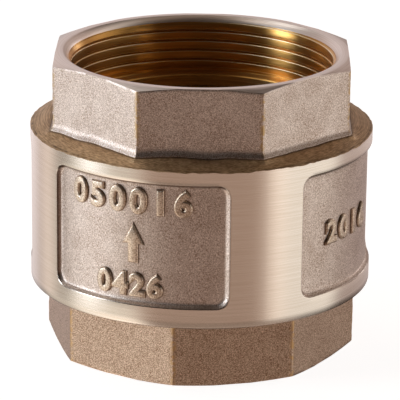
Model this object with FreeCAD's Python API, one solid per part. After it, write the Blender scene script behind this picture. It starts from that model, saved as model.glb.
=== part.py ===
import FreeCAD, Part
import math
import os

# In-line spring-loaded non-return valve for 2 inch pipe, in millimetres.
# Z is the valve's axis and points the way the water flows.
# The origin is the centre of the inlet end face, on which the valve stands.

# Pipe ends, G 2 parallel thread, cut at its major radius
thread_radius = 29.8
thread_depth = 13.0
mouth_chamfer_width = 1.3
mouth_chamfer_deg = 45.0

# Outside of the two forgings
octagon_wall = 2.9
octagon_edge_round = 0.5
octagon_sides = 8
body_corner_deg = 22.5
cap_corner_deg = -8.6
cap_octagon_height = 15.2
outlet_octagon_height = 15.2
end_ring_over_flats = 0.2
corner_chamfer_deg = 16.7
belly_over_thread = 8.7
belly_edge_break = 0.8
shoulder_rise = 1.7
shoulder_edge_rise = 1.0
shoulder_edge_width = 2.2

# Recessed panels round the belly
panel_count = 4
panel_centre_deg = -112.0
panel_width_deg = 64.8
panel_from_bottom = 4.5
panel_from_top = 2.9
panel_depth = 1.0
panel_corner_radius = 3.0

# Body inside
belly_wall = 6.45
chamber_step = 1.05
throat_step = 4.5
throat_length = 3.0

# Male end of the cap, screwed into the body
spigot_length = 11.0
screwed_clearance = 0.05

# Flat ring seal between the cap's end and a step in the body
ring_seal_thickness = 1.6
ring_seal_width = 2.4
ring_seal_side_clearance = 0.1
ring_seal_clearance = 0.02

# Seat and waterway of the cap
seat_web_width = 11.0
seat_lip_width = 1.4
seat_lip_height = 1.2
seat_gap = 0.1

# Moving valve: plate, seal, washer, nut and spindle
lift = 10.0
disc_overlap = 2.6
disc_thickness = 3.0
disc_rim_chamfer = 0.8
seal_thickness = 2.0
seal_inset = 1.1
washer_seat_clearance = 3.0
washer_thickness = 1.5
nut_flats = 10.0
nut_height = 3.2
spindle_radius = 4.0
stud_radius = 3.0
stud_clearance = 0.04
stud_overrun = 1.2
collar_radius = 5.4
collar_height = 1.6
spindle_set_back = 0.3

# Guide of the spindle: a hub on arms in the body forging
guide_clearance = 0.05
open_clearance = 0.4
arm_count = 4
arm_turn_deg = 45.0
arm_width = 3.6
arm_height = 5.4
arm_root = 0.5
hub_radius = 8.6
hub_height = 4.3
hub_below_ledge = 0.2
nose_radius = 5.9
nose_length = 5.5

# Closing spring
spring_wire_radius = 0.45
spring_radial_gap = 0.5
spring_turns = 5.5
spring_end_gap = 0.05
spring_section_sides = 6
spring_steps_per_turn = 14

# Room left round the outside by the shapes that cut it
cutting_room = 5.0

# Levels along the axis, from the inlet end face up through the parts inside
body_bottom = cap_octagon_height
cap_end = body_bottom + spigot_length
seat_level = cap_end + seat_lip_height
seal_bottom = seat_level + seat_gap
disc_bottom = seal_bottom + seal_thickness
disc_top = disc_bottom + disc_thickness
washer_bottom = seal_bottom - washer_thickness
nut_bottom = washer_bottom - nut_height
stud_bottom = nut_bottom - stud_overrun
collar_top = disc_top + collar_height
nose_bottom = collar_top + lift + open_clearance
hub_bottom = nose_bottom + nose_length
hub_top = hub_bottom + hub_height
spindle_top = hub_top - spindle_set_back
ledge = hub_top + hub_below_ledge
outlet_end = ledge + thread_depth
octagon_base = outlet_end - outlet_octagon_height
belly_top = octagon_base - shoulder_rise

# Radii that follow from the pipe thread
octagon_flats = 2 * (thread_radius + octagon_wall)
end_ring_radius = octagon_flats / 2 + end_ring_over_flats
mouth_radius = thread_radius + mouth_chamfer_width
belly_radius = thread_radius + belly_over_thread
cap_bore_radius = belly_radius - belly_wall
spigot_radius = cap_bore_radius - screwed_clearance
chamber_radius = cap_bore_radius - chamber_step
throat_radius = chamber_radius - throat_step
seat_bore_radius = spigot_radius - seat_web_width
lip_radius = seat_bore_radius + seat_lip_width
disc_radius = lip_radius + disc_overlap
seal_radius = disc_radius - seal_inset
washer_radius = seat_bore_radius - washer_seat_clearance
stud_bore_radius = stud_radius + stud_clearance
spring_mean_radius = nose_radius + spring_radial_gap + spring_wire_radius

axis_direction = FreeCAD.Vector(0, 0, 1)
origin = FreeCAD.Vector(0, 0, 0)


def at(radius, level):
    """Point of a turned profile, in the XZ plane."""
    return FreeCAD.Vector(radius, 0, level)


def turned(corners):
    """Solid of revolution of a closed straight-sided profile of (radius, level) corners."""
    points = [at(radius, level) for radius, level in corners]
    outline = Part.makePolygon(points + points[:1])
    return Part.Face(outline).revolve(origin, axis_direction, 360)


def cylinder(radius, bottom, top):
    """Plain round bar or hole between two levels."""
    return Part.makeCylinder(radius, top - bottom, at(0, bottom))


def turned_about_axis(shape, angle_deg):
    """Copy of a shape, turned about the valve's axis."""
    copy = shape.copy()
    copy.rotate(origin, axis_direction, angle_deg)
    return copy


def corner_radius_of(flats, sides):
    """Radius through the corners of a regular polygon of that width across its flats."""
    return flats / 2 / math.cos(math.pi / sides)


def around(radius, angle_deg, level):
    """Point at a radius and angle round the axis."""
    angle = math.radians(angle_deg)
    return FreeCAD.Vector(radius * math.cos(angle), radius * math.sin(angle), level)


def polygon_prism(flats, sides, corner_deg, bottom, height):
    """Upright prism on a regular polygon with one corner at the given angle."""
    radius = corner_radius_of(flats, sides)
    corners = [around(radius, corner_deg + 360 / sides * number, bottom) for number in range(sides)]
    outline = Part.makePolygon(corners + corners[:1])
    return Part.Face(outline).extrude(FreeCAD.Vector(0, 0, height))


def octagon(bottom, height, corner_deg):
    """Forged octagon with rounded upright edges and one corner at the given angle."""
    turn_deg = 360 / octagon_sides
    centre_radius = corner_radius_of(octagon_flats - 2 * octagon_edge_round, octagon_sides)
    edges = []
    last_end = None
    for number in range(octagon_sides + 1):
        middle_deg = corner_deg + turn_deg * number
        centre = around(centre_radius, middle_deg, bottom)
        start = centre + around(octagon_edge_round, middle_deg - turn_deg / 2, 0)
        middle = centre + around(octagon_edge_round, middle_deg, 0)
        end = centre + around(octagon_edge_round, middle_deg + turn_deg / 2, 0)
        if last_end:
            edges.append(Part.makeLine(last_end, start))
            edges.append(Part.Arc(start, middle, end).toShape())
        last_end = end
    return Part.Face(Part.Wire(edges)).extrude(FreeCAD.Vector(0, 0, height))


def corner_turning(end_level, inner_level):
    """Space inside which the octagon's end is left when its corners are turned off."""
    outer = belly_radius + cutting_room
    drop = (outer - end_ring_radius) * math.tan(math.radians(corner_chamfer_deg))
    toward_inside = 1 if inner_level > end_level else -1
    return turned([
        (0, inner_level),
        (outer, inner_level),
        (outer, end_level + toward_inside * drop),
        (end_ring_radius, end_level),
        (0, end_level),
    ])


def pipe_bore(end_level, toward_inside):
    """Bore of a pipe end with its mouth chamfer, as a solid to cut away."""
    chamfer_depth = mouth_chamfer_width / math.tan(math.radians(mouth_chamfer_deg))
    return turned([
        (0, end_level),
        (mouth_radius, end_level),
        (thread_radius, end_level + toward_inside * chamfer_depth),
        (thread_radius, end_level + toward_inside * thread_depth),
        (0, end_level + toward_inside * thread_depth),
    ])


def guide_arm(inner_radius, outer_radius, bottom, height):
    """Straight arm of a guide along +X."""
    corner = FreeCAD.Vector(inner_radius, -arm_width / 2, bottom)
    return Part.makeBox(outer_radius - inner_radius, arm_width, height, corner)


def panel_pocket():
    """One recess of the belly, with a round floor and rounded corners."""
    bottom = body_bottom + panel_from_bottom
    top = belly_top - panel_from_top
    floor_radius = belly_radius - panel_depth
    outer = belly_radius + cutting_room
    section = Part.makePolygon([
        at(floor_radius, bottom),
        at(outer, bottom),
        at(outer, top),
        at(floor_radius, top),
        at(floor_radius, bottom),
    ])
    pocket = Part.Face(section).revolve(origin, axis_direction, panel_width_deg)
    corners = []
    for edge in pocket.Edges:
        if edge.Curve.TypeId == "Part::GeomLine" and abs(edge.tangentAt(edge.FirstParameter).z) < 0.01:
            corners.append(edge)
    pocket = pocket.makeFillet(panel_corner_radius, corners)
    return turned_about_axis(pocket, -panel_width_deg / 2)


def body_outside():
    """Belly, forged shoulder and outlet octagon of the body, still solid inside."""
    belly = turned([
        (0, body_bottom),
        (belly_radius - belly_edge_break, body_bottom),
        (belly_radius, body_bottom + belly_edge_break),
        (belly_radius, belly_top),
        (0, belly_top),
    ])
    shoulder = turned([
        (0, belly_top),
        (belly_radius, belly_top),
        (belly_radius - shoulder_edge_width, belly_top + shoulder_edge_rise),
        (octagon_flats / 2 - octagon_edge_round, octagon_base),
        (0, octagon_base),
    ])
    end = octagon(belly_top, outlet_end - belly_top, body_corner_deg)
    end = end.common(corner_turning(outlet_end, belly_top))
    return belly.fuse([shoulder, end]).removeSplitter()


def body_inside():
    """Chamber, throat and cap bore of the body, as a solid to cut away."""
    cap_bore_top = cap_end + ring_seal_thickness
    throat_bottom = ledge - throat_length
    return turned([
        (0, body_bottom),
        (cap_bore_radius, body_bottom),
        (cap_bore_radius, cap_bore_top),
        (chamber_radius, cap_bore_top),
        (chamber_radius, throat_bottom),
        (throat_radius, throat_bottom),
        (throat_radius, ledge),
        (0, ledge),
    ])


def spindle_guide():
    """Hub on arms that carries the spindle below the outlet, part of the body forging."""
    hub = turned([
        (0, nose_bottom),
        (nose_radius, nose_bottom),
        (nose_radius, hub_bottom),
        (hub_radius, hub_bottom),
        (hub_radius, hub_top),
        (0, hub_top),
    ])
    arm = guide_arm(hub_radius - arm_root, chamber_radius + arm_root, hub_top - arm_height, arm_height)
    arms = [turned_about_axis(arm, arm_turn_deg + 360 / arm_count * number) for number in range(arm_count)]
    return hub.fuse(arms)


def make_body():
    """Body forging with its panels, chamber and outlet guide."""
    shape = body_outside()
    pocket = panel_pocket()
    pockets = []
    for number in range(panel_count):
        pockets.append(turned_about_axis(pocket, panel_centre_deg + 360 / panel_count * number))
    shape = shape.cut(pockets + [body_inside(), pipe_bore(outlet_end, -1)])
    shape = shape.fuse(spindle_guide())
    return shape.cut(cylinder(spindle_radius + guide_clearance, body_bottom, outlet_end))


def make_end_cap():
    """Inlet half: octagon, pipe bore, screwed spigot and seat."""
    head = octagon(0, cap_octagon_height, cap_corner_deg)
    head = head.common(corner_turning(0, cap_octagon_height))
    spigot = turned([
        (0, body_bottom),
        (spigot_radius, body_bottom),
        (spigot_radius, cap_end),
        (0, cap_end),
    ])
    lip = turned([
        (0, cap_end),
        (lip_radius + seat_lip_height / 2, cap_end),
        (lip_radius, seat_level),
        (0, seat_level),
    ])
    shape = head.fuse([spigot, lip]).removeSplitter()
    return shape.cut([cylinder(seat_bore_radius, 0, seat_level), pipe_bore(0, 1)])


def make_cap_seal():
    """Flat ring seal, squeezed between the cap's end and the step in the body."""
    bottom = cap_end + ring_seal_clearance
    top = cap_end + ring_seal_thickness - ring_seal_clearance
    outer = cap_bore_radius - ring_seal_side_clearance
    inner = outer - ring_seal_width
    return turned([(inner, bottom), (outer, bottom), (outer, top), (inner, top)])


def make_valve_disc():
    """Turned plate with a chamfered rim and a bore for the spindle."""
    return turned([
        (stud_bore_radius, disc_bottom),
        (disc_radius, disc_bottom),
        (disc_radius, disc_top - disc_rim_chamfer),
        (disc_radius - disc_rim_chamfer, disc_top),
        (stud_bore_radius, disc_top),
    ])


def make_disc_seal():
    """Flat rubber ring that closes on the seat."""
    return turned([
        (stud_bore_radius, seal_bottom),
        (seal_radius, seal_bottom),
        (seal_radius, disc_bottom),
        (stud_bore_radius, disc_bottom),
    ])


def make_seal_washer():
    """Flat washer that holds the seal against the plate."""
    return turned([
        (stud_bore_radius, washer_bottom),
        (washer_radius, washer_bottom),
        (washer_radius, seal_bottom),
        (stud_bore_radius, seal_bottom),
    ])


def make_stem_nut():
    """Thin hexagon nut that clamps the washer, seal and plate."""
    blank = polygon_prism(nut_flats, 6, 0, nut_bottom, nut_height)
    return blank.cut(cylinder(stud_bore_radius, nut_bottom, washer_bottom))


def make_stem():
    """Turned spindle: stud through the plate and nut, collar on the plate, guide rod above."""
    return turned([
        (0, stud_bottom),
        (stud_radius, stud_bottom),
        (stud_radius, disc_top),
        (collar_radius, disc_top),
        (collar_radius, collar_top),
        (spindle_radius, collar_top),
        (spindle_radius, spindle_top),
        (0, spindle_top),
    ])


def make_spring():
    """Wire compression spring between the plate and the guide's hub."""
    bottom = disc_top + spring_end_gap + spring_wire_radius
    top = hub_bottom - spring_end_gap - spring_wire_radius
    steps = round(spring_turns * spring_steps_per_turn)
    rings = []
    for step in range(steps + 1):
        turn_deg = 360 * spring_turns * step / steps
        level = bottom + (top - bottom) * step / steps
        corners = []
        for number in range(spring_section_sides):
            angle = 2 * math.pi * number / spring_section_sides
            radius = spring_mean_radius + spring_wire_radius * math.cos(angle)
            corners.append(around(radius, turn_deg, level + spring_wire_radius * math.sin(angle)))
        rings.append(Part.makePolygon(corners + corners[:1]))
    return Part.makeLoft(rings, True, True)


def main():
    """Build every piece and write one file for each."""
    pieces = {
        "body": make_body(),
        "end_cap": make_end_cap(),
        "cap_seal": make_cap_seal(),
        "valve_disc": make_valve_disc(),
        "disc_seal": make_disc_seal(),
        "seal_washer": make_seal_washer(),
        "stem_nut": make_stem_nut(),
        "stem": make_stem(),
        "spring": make_spring(),
    }
    os.makedirs("parts", exist_ok=True)
    for name, shape in pieces.items():
        shape.exportStep(f"parts/{name}.step")
        print(name, len(shape.Solids), "solid,", round(shape.Volume), "cubic mm, valid:", shape.isValid())


main()
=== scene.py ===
"""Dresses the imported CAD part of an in-line, spring-loaded non-return valve of forged brass.

Sizes are in millimetres, as on the valve's drawing, and become metres when a piece is finished.
The valve stands on its inlet end, the water flows up along Z, and -Y is the side that faces the camera.
"""

from __future__ import annotations

import logging
import math
from dataclasses import dataclass, field
from enum import Enum
from typing import Callable

import bmesh
import bpy
from mathutils import Matrix, Vector, noise


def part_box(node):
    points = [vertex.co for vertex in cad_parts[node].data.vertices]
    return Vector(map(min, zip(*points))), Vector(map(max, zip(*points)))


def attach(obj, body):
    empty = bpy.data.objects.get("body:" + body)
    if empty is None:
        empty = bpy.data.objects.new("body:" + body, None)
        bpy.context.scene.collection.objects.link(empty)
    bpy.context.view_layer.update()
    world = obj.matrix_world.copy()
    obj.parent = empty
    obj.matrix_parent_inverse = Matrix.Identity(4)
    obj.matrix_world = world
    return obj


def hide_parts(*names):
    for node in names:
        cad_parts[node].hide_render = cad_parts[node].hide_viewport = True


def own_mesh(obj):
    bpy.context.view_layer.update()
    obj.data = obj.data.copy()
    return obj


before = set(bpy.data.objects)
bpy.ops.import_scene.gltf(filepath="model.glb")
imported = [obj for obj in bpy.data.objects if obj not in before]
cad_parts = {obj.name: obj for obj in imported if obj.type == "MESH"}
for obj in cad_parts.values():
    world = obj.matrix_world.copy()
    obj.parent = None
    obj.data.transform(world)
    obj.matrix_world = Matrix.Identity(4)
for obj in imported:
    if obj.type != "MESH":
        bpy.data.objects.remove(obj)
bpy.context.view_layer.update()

# One millimetre in metres
MM = 0.001
# Faces that meet at more than this angle show an edge between them
SHARP_DEG = 38.0
# Points closer together than this, in millimetres, are one point
SAME_POINT = 1e-4
FULL_TURN = 2 * math.pi
# Columns of a turned part: more where a wide rim shows, fewer on small parts
FINE_STEPS = 144
COARSE_STEPS = 96
# Nearly all values of a noise texture lie between these
NOISE_LOW, NOISE_HIGH = 0.36, 0.64
# Noise values between which worn metal along an edge fades in
CHIPS_LOW, CHIPS_HIGH = 0.40, 0.56
# Quarter turn that draws a highlight out across the tool's lines
ACROSS_LINES = 0.25

log = logging.getLogger("valve")


def linear(colour: str) -> tuple[float, float, float, float]:
    """Turn an sRGB hex colour into the linear values that Blender's sockets take.

    Args:
        colour: The colour as "#RRGGBB".

    Returns:
        Linear red, green and blue with an alpha of one.
    """
    parts = [int(colour[place:place + 2], 16) / 255 for place in (1, 3, 5)]
    values = [part / 12.92 if part <= 0.04045 else ((part + 0.055) / 1.055) ** 2.4 for part in parts]
    return values[0], values[1], values[2], 1.0


def per_metre(size_mm: float) -> float:
    """Scale of a texture whose features are this many millimetres across."""
    return 1 / (size_mm * MM)


def add_node(tree: bpy.types.NodeTree, kind: str, inputs: dict | None = None, **settings) -> bpy.types.Node:
    """Add a node with its settings, its values and its links.

    Args:
        tree: The node tree that gets the node.
        kind: The node's type.
        inputs: For each input, by name or number, its value or the output that feeds it.
        **settings: Options of the node itself.

    Returns:
        The new node.
    """
    made = tree.nodes.new(kind)
    for name, value in settings.items():
        setattr(made, name, value)
    for name, value in (inputs or {}).items():
        if isinstance(value, bpy.types.NodeSocket):
            tree.links.new(value, made.inputs[name])
        else:
            made.inputs[name].default_value = value
    return made


def smooth_step(low: float, high: float, value: float) -> float:
    """Share between 0 and 1 that rises smoothly from one value to the other."""
    share = min(max((value - low) / (high - low), 0.0), 1.0)
    return share * share * (3 - 2 * share)


def mix(first: float, second: float, share: float) -> float:
    """Value at a share of the way from the first to the second."""
    return first + (second - first) * share


def around(radius: float, angle_deg: float, level: float) -> Vector:
    """Point at a radius, an angle round the axis and a level."""
    angle = math.radians(angle_deg)
    return Vector((radius * math.cos(angle), radius * math.sin(angle), level))


def to_nearest(angle_deg: float, places_deg: list[float]) -> float:
    """Signed angle from the nearest of some places round the axis, in degrees."""
    offsets = [(angle_deg - place + 180) % 360 - 180 for place in places_deg]
    return min(offsets, key=abs)


@dataclass(frozen=True)
class Finish:
    """A material with the marks of how its surface was made.

    Attributes:
        name: Name of the material.
        colour: Its main colour as sRGB hex.
        shade: The colour of its low or dull spots.
        roughness: Roughness of the shader.
        metallic: 1 for metals.
        grain_mm: Size of the marks along the surface.
        turned: Whether the marks run round the axis, as a lathe tool leaves them.
        stretch: How many times longer such marks are than they are wide.
        draw_out: How far lines too fine to see draw a highlight out across them, from 0 to 1.
        relief_mm: Height of the marks.
        mottle_mm: Size of the large patches of colour.
        mottle: Share of the large patches in the spots; the rest is grain.
        chip_mm: Size of the breaks in the wear along an edge.
        edge_colour: Colour of worn edges, which the attribute "wear" marks.
        painted_shade_colour: Colour of painted shade, laid in hollows, creases and under overhangs where the
            mesh's attribute marks them.
    """

    name: str
    colour: str
    shade: str
    roughness: float
    metallic: float = 1.0
    grain_mm: float = 0.3
    turned: bool = False
    stretch: float = 60.0
    draw_out: float = 0.0
    relief_mm: float = 0.02
    mottle_mm: float = 6.0
    mottle: float = 0.15
    chip_mm: float = 1.0
    edge_colour: str = ""
    painted_shade_colour: str = ""

    def turning_place(self, tree: bpy.types.NodeTree, place: bpy.types.NodeSocket) -> bpy.types.NodeSocket:
        """Place for marks that a lathe tool leaves: rings on end faces, lines round cylinders.

        Args:
            tree: The material's node tree.
            place: The place on the object.

        Returns:
            A place whose first axis is the radius and whose second is the level.
        """
        flat = add_node(tree, "ShaderNodeVectorMath", {0: place, 1: (1.0, 1.0, 0.0)}, operation="MULTIPLY")
        radius = add_node(tree, "ShaderNodeVectorMath", {0: flat.outputs[0]}, operation="LENGTH")
        parts = add_node(tree, "ShaderNodeSeparateXYZ", {0: place})
        drift = add_node(
            tree, "ShaderNodeMath", {0: parts.outputs["X"], 1: 1 / self.stretch}, operation="MULTIPLY",
        )
        return add_node(
            tree, "ShaderNodeCombineXYZ",
            {"X": radius.outputs["Value"], "Y": parts.outputs["Z"], "Z": drift.outputs[0]},
        ).outputs[0]

    def speckled(
        self, tree: bpy.types.NodeTree, place: bpy.types.NodeSocket, grain: bpy.types.NodeSocket,
    ) -> bpy.types.NodeSocket:
        """Colour of the clean surface, between the main colour and its shade.

        Args:
            tree: The material's node tree.
            place: The place on the object.
            grain: Noise of the marks.

        Returns:
            The colour.
        """
        patches = add_node(
            tree, "ShaderNodeTexNoise", {"Vector": place, "Scale": per_metre(self.mottle_mm), "Detail": 3.0},
        ).outputs[0]
        spots = add_node(
            tree, "ShaderNodeMix", {0: self.mottle, 2: grain, 3: patches}, data_type="FLOAT",
        ).outputs[0]
        share = add_node(
            tree, "ShaderNodeMapRange",
            {"Value": spots, "From Min": NOISE_LOW, "From Max": NOISE_HIGH, "To Min": 1.0, "To Max": 0.0},
        ).outputs[0]
        return add_node(
            tree, "ShaderNodeMix", {0: share, 6: linear(self.colour), 7: linear(self.shade)}, data_type="RGBA",
        ).outputs[2]

    def worn(
        self, tree: bpy.types.NodeTree, place: bpy.types.NodeSocket, colour: bpy.types.NodeSocket,
    ) -> bpy.types.NodeSocket:
        """Lay worn metal over the colour along the edges, with breaks in it.

        Args:
            tree: The material's node tree.
            place: The place on the object.
            colour: The colour so far.

        Returns:
            The colour with its worn edges.
        """
        chips = add_node(
            tree, "ShaderNodeTexNoise", {"Vector": place, "Scale": per_metre(self.chip_mm), "Detail": 2.0},
        ).outputs[0]
        broken = add_node(
            tree, "ShaderNodeMapRange", {"Value": chips, "From Min": CHIPS_LOW, "From Max": CHIPS_HIGH},
        ).outputs[0]
        wear = add_node(tree, "ShaderNodeAttribute", attribute_name="wear").outputs["Fac"]
        amount = add_node(tree, "ShaderNodeMath", {0: wear, 1: broken}, operation="MULTIPLY").outputs[0]
        return add_node(
            tree, "ShaderNodeMix", {0: amount, 6: colour, 7: linear(self.edge_colour)}, data_type="RGBA",
        ).outputs[2]

    def with_painted_shade(self, tree: bpy.types.NodeTree, colour: bpy.types.NodeSocket) -> bpy.types.NodeSocket:
        """Lay painted shade over the colour in hollows, creases and under overhangs.

        Args:
            tree: The material's node tree.
            colour: The colour so far.

        Returns:
            The colour with its painted shade.
        """
        amount = add_node(tree, "ShaderNodeAttribute", attribute_name="dirt").outputs["Fac"]
        return add_node(
            tree, "ShaderNodeMix", {0: amount, 6: colour, 7: linear(self.painted_shade_colour)}, data_type="RGBA",
        ).outputs[2]

    def material(self) -> bpy.types.Material:
        """Build the material, unless it was built before.

        Returns:
            The material.
        """
        if self.name in bpy.data.materials:
            return bpy.data.materials[self.name]
        made = bpy.data.materials.new(self.name)
        made.use_nodes = True
        tree = made.node_tree
        tree.nodes.clear()
        place = add_node(tree, "ShaderNodeTexCoord").outputs["Object"]
        grain = add_node(
            tree, "ShaderNodeTexNoise",
            {
                "Vector": self.turning_place(tree, place) if self.turned else place,
                "Scale": per_metre(self.grain_mm),
                "Detail": 1.5,
                "Roughness": 0.65,
            },
        ).outputs[0]
        colour = self.speckled(tree, place, grain)
        if self.edge_colour:
            colour = self.worn(tree, place, colour)
        # Painted shade, where the mesh marks hollows, creases and overhangs
        if self.painted_shade_colour:
            colour = self.with_painted_shade(tree, colour)
        bump = add_node(
            tree, "ShaderNodeBump", {"Height": grain, "Strength": 1.0, "Distance": self.relief_mm * MM},
        )
        shader = add_node(
            tree, "ShaderNodeBsdfPrincipled",
            {
                "Base Color": colour,
                "Metallic": self.metallic,
                "Roughness": self.roughness,
                "Normal": bump.outputs[0],
            },
        )
        if self.draw_out:
            round_axis = add_node(
                tree, "ShaderNodeVectorMath", {0: (0.0, 0.0, 1.0), 1: place}, operation="CROSS_PRODUCT",
            )
            tree.links.new(round_axis.outputs[0], shader.inputs["Tangent"])
            shader.inputs["Anisotropic"].default_value = self.draw_out
            shader.inputs["Anisotropic Rotation"].default_value = ACROSS_LINES
        add_node(tree, "ShaderNodeOutputMaterial", {"Surface": shader.outputs[0]})
        return made


# Hot-forged brass, shot blasted: pits a fifth of a millimetre wide scatter the light, so faces look matt; its
# darkest colour is painted shade under the lip and along the panels' walls
BLASTED_FORGING = Finish(
    "shot_blasted_forged_brass", "#F8E8DA", "#A68974", 0.46, grain_mm=0.21, relief_mm=0.026, mottle_mm=5.0,
    edge_colour="#C9A778", painted_shade_colour="#5E4632",
)
# Raised marks of the same forging, rubbed by handling: smoother and yellower, with painted shade round their feet
RUBBED_MARKS = Finish(
    "rubbed_forged_brass", "#F9E6CF", "#AC8E72", 0.40, grain_mm=0.27, relief_mm=0.022, mottle_mm=5.0,
    painted_shade_colour="#4E3826",
)
# The cap's forging: a darker, browner copy of the body's blasted brass, whose darkening is painted shade for the
# shade under the belly's overhang
BLASTED_CAP_PAINTED_SHADE = Finish(
    "shot_blasted_brass_cap_painted_shade", "#E8CCB2", "#866449", 0.46, grain_mm=0.21, relief_mm=0.026, mottle_mm=4.0,
    mottle=0.08, edge_colour="#CBA474", painted_shade_colour="#5A4636",
)
# The same forging where scale from the die stays: brown and dull, dragged round by a roughing tool; its darkest
# colour is painted shade for the creases at the belly's rim and the octagon's foot
FORGED_SKIN = Finish(
    "forged_brass_with_die_scale", "#DDBB93", "#A07F5A", 0.50, grain_mm=0.20, turned=True, stretch=4.0,
    relief_mm=0.03, mottle_mm=3.0, mottle=0.25, edge_colour="#E4CDA8", painted_shade_colour="#3E2C1C",
)
# Turned brass: the tool leaves lines round the axis, which draw highlights out across them; its darkest colour is
# painted shade along the panels' edges
TURNED_BELLY = Finish(
    "turned_brass_belly", "#ECDECD", "#E4D4C1", 0.26, grain_mm=0.22, turned=True, draw_out=0.5,
    relief_mm=0.0018, mottle_mm=14.0, edge_colour="#B79468", painted_shade_colour="#6A4A38",
)
# Brass faced on the lathe with a finer feed: concentric rings too fine to see one by one
FACED_END = Finish(
    "faced_brass_end", "#F1E2D6", "#E2CFC0", 0.34, grain_mm=0.16, turned=True, draw_out=0.15, relief_mm=0.006,
    mottle_mm=10.0,
)
# Thread cut in brass: the yellow of freshly cut metal, deepened as painted light for the light that bounces round
# the bore
CUT_THREAD_PAINTED_BOUNCE = Finish(
    "thread_cut_brass_painted_bounce", "#DDA960", "#C8924C", 0.31, grain_mm=0.20, turned=True, draw_out=0.95, relief_mm=0.003,
    mottle_mm=9.0,
)
# Corners of the thread's crests: a brighter colour that is a painted highlight, the thin bright line along each
# crest, without drawn-out highlights
CREST_PAINTED_HIGHLIGHT = Finish(
    "thread_crest_painted_highlight", "#F8E2BC", "#E9CB96", 0.38, grain_mm=0.20, turned=True, relief_mm=0.004,
    mottle_mm=5.0,
)
# Inside of the forging, bored and washed
BORED_INSIDE = Finish(
    "bored_brass_inside", "#DDB273", "#BE9258", 0.36, grain_mm=0.30, turned=True, draw_out=0.6, relief_mm=0.008,
    mottle_mm=7.0,
)
# Turned brass bar of the spindle, plate and washer
TURNED_BAR = Finish(
    "turned_brass_bar", "#F0DDAE", "#E2C994", 0.26, grain_mm=0.20, turned=True, draw_out=0.5, relief_mm=0.004,
    mottle_mm=6.0,
)
# Cold-formed stainless steel nut, lightly scuffed
STAINLESS_NUT = Finish("cold_formed_stainless", "#C9C7C2", "#A9A7A3", 0.32, grain_mm=0.4, relief_mm=0.006)
# Drawn stainless spring wire: smooth, with faint marks of the die
STAINLESS_WIRE = Finish("drawn_stainless_wire", "#CBC9C5", "#AFADA9", 0.22, grain_mm=0.3, relief_mm=0.003)
# Moulded nitrile rubber: black, matt, with a fine mould texture
NITRILE = Finish(
    "moulded_nitrile_rubber", "#1B1B1C", "#121213", 0.62, metallic=0.0, grain_mm=0.5, relief_mm=0.012,
)

# Materials of the two forgings, in the order of their face numbers
BODY_FINISHES = (BLASTED_FORGING, FORGED_SKIN, TURNED_BELLY, FACED_END, CUT_THREAD_PAINTED_BOUNCE, BORED_INSIDE)
CAP_FINISHES = (BLASTED_CAP_PAINTED_SHADE, FACED_END, CUT_THREAD_PAINTED_BOUNCE, BORED_INSIDE)


class Zone(Enum):
    """Kinds of row in a lathe skin, by the form that places their vertices."""

    TURNED = "turned"
    BELLY = "belly"
    RIM = "rim"
    SHOULDER = "shoulder"
    LIP = "lip"
    FACE = "face"
    CHAMFER = "chamfer"


@dataclass(frozen=True)
class Row:
    """One ring of vertices in a lathe skin.

    Attributes:
        zone: The form that the ring belongs to.
        first: Radius, level or share, as the zone reads it.
        second: Level of a turned ring, or height above a lip.
        finish: The finish between this ring and the next.
    """

    zone: Zone
    first: float
    second: float
    finish: Finish


def turned_rows(corners: list[tuple[float, float]], finish: Finish) -> list[Row]:
    """Rows of a turned stretch, one for each (radius, level) corner."""
    return [Row(Zone.TURNED, radius, level, finish) for radius, level in corners]


def levels_between(low: float, high: float, spacing: float) -> list[float]:
    """Even levels from low to high, both left out."""
    count = max(1, round((high - low) / spacing))
    return [mix(low, high, number / count) for number in range(1, count)]


def column_angles(step: float, refined: list[float]) -> list[float]:
    """Angles of a skin's columns: an even step, closed up where the form needs more.

    Args:
        step: The even step in degrees.
        refined: Angles that must have a column.

    Returns:
        All angles in rising order, from 0 to 360 degrees.
    """
    needed = sorted(set(round(angle % 360, 3) for angle in refined))
    even = [number * step for number in range(round(360 / step))]
    free = [angle for angle in even if not needed or abs(to_nearest(angle, needed)) > 0.4 * step]
    return sorted(needed + free)


def lathe_skin(
    rows: list[Row], angles: list[float], finishes: tuple[Finish, ...], place: Callable[[Row, float], Vector],
    marks: Callable[[Row, float], dict],
) -> bmesh.types.BMesh:
    """Spin a ring into a closed skin and set each vertex where its row and column belong.

    Args:
        rows: The closed section, ring by ring.
        angles: The angles of the columns, in degrees.
        finishes: The piece's finishes, in the order of the face numbers.
        place: Gives a vertex's place in millimetres for its row and angle.
        marks: Gives a vertex's attribute values for its row and angle.

    Returns:
        The skin, with a material number on each face.
    """
    skin = bmesh.new()
    ring_distance = 3.0
    bmesh.ops.create_circle(skin, segments=len(rows), radius=1.0)
    bmesh.ops.rotate(skin, verts=skin.verts, matrix=Matrix.Rotation(math.pi / 2, 3, "X"))
    bmesh.ops.translate(skin, verts=skin.verts, vec=(ring_distance, 0, 0))
    bmesh.ops.spin(
        skin, geom=skin.verts[:] + skin.edges[:], cent=(0, 0, 0), axis=(0, 0, 1), angle=FULL_TURN,
        steps=len(angles), use_merge=True,
    )
    row_layer = skin.verts.layers.int.new("row")
    layers = {name: skin.verts.layers.float.new(name) for name in marks(rows[0], 0.0)}
    for vertex in skin.verts:
        across = math.hypot(vertex.co.x, vertex.co.y) - ring_distance
        turn = (math.atan2(vertex.co.z, across) - math.pi / 2) / FULL_TURN
        number = round(turn * len(rows)) % len(rows)
        column = round(math.atan2(vertex.co.y, vertex.co.x) / FULL_TURN * len(angles)) % len(angles)
        vertex[row_layer] = number
        vertex.co = place(rows[number], angles[column])
        for name, value in marks(rows[number], angles[column]).items():
            vertex[layers[name]] = value
    materials = [finishes.index(row.finish) for row in rows]
    for face in skin.faces:
        numbers = {vertex[row_layer] for vertex in face.verts}
        wraps = 0 in numbers and len(rows) - 1 in numbers
        face.material_index = materials[max(numbers) if wraps else min(numbers)]
    return skin


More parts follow.
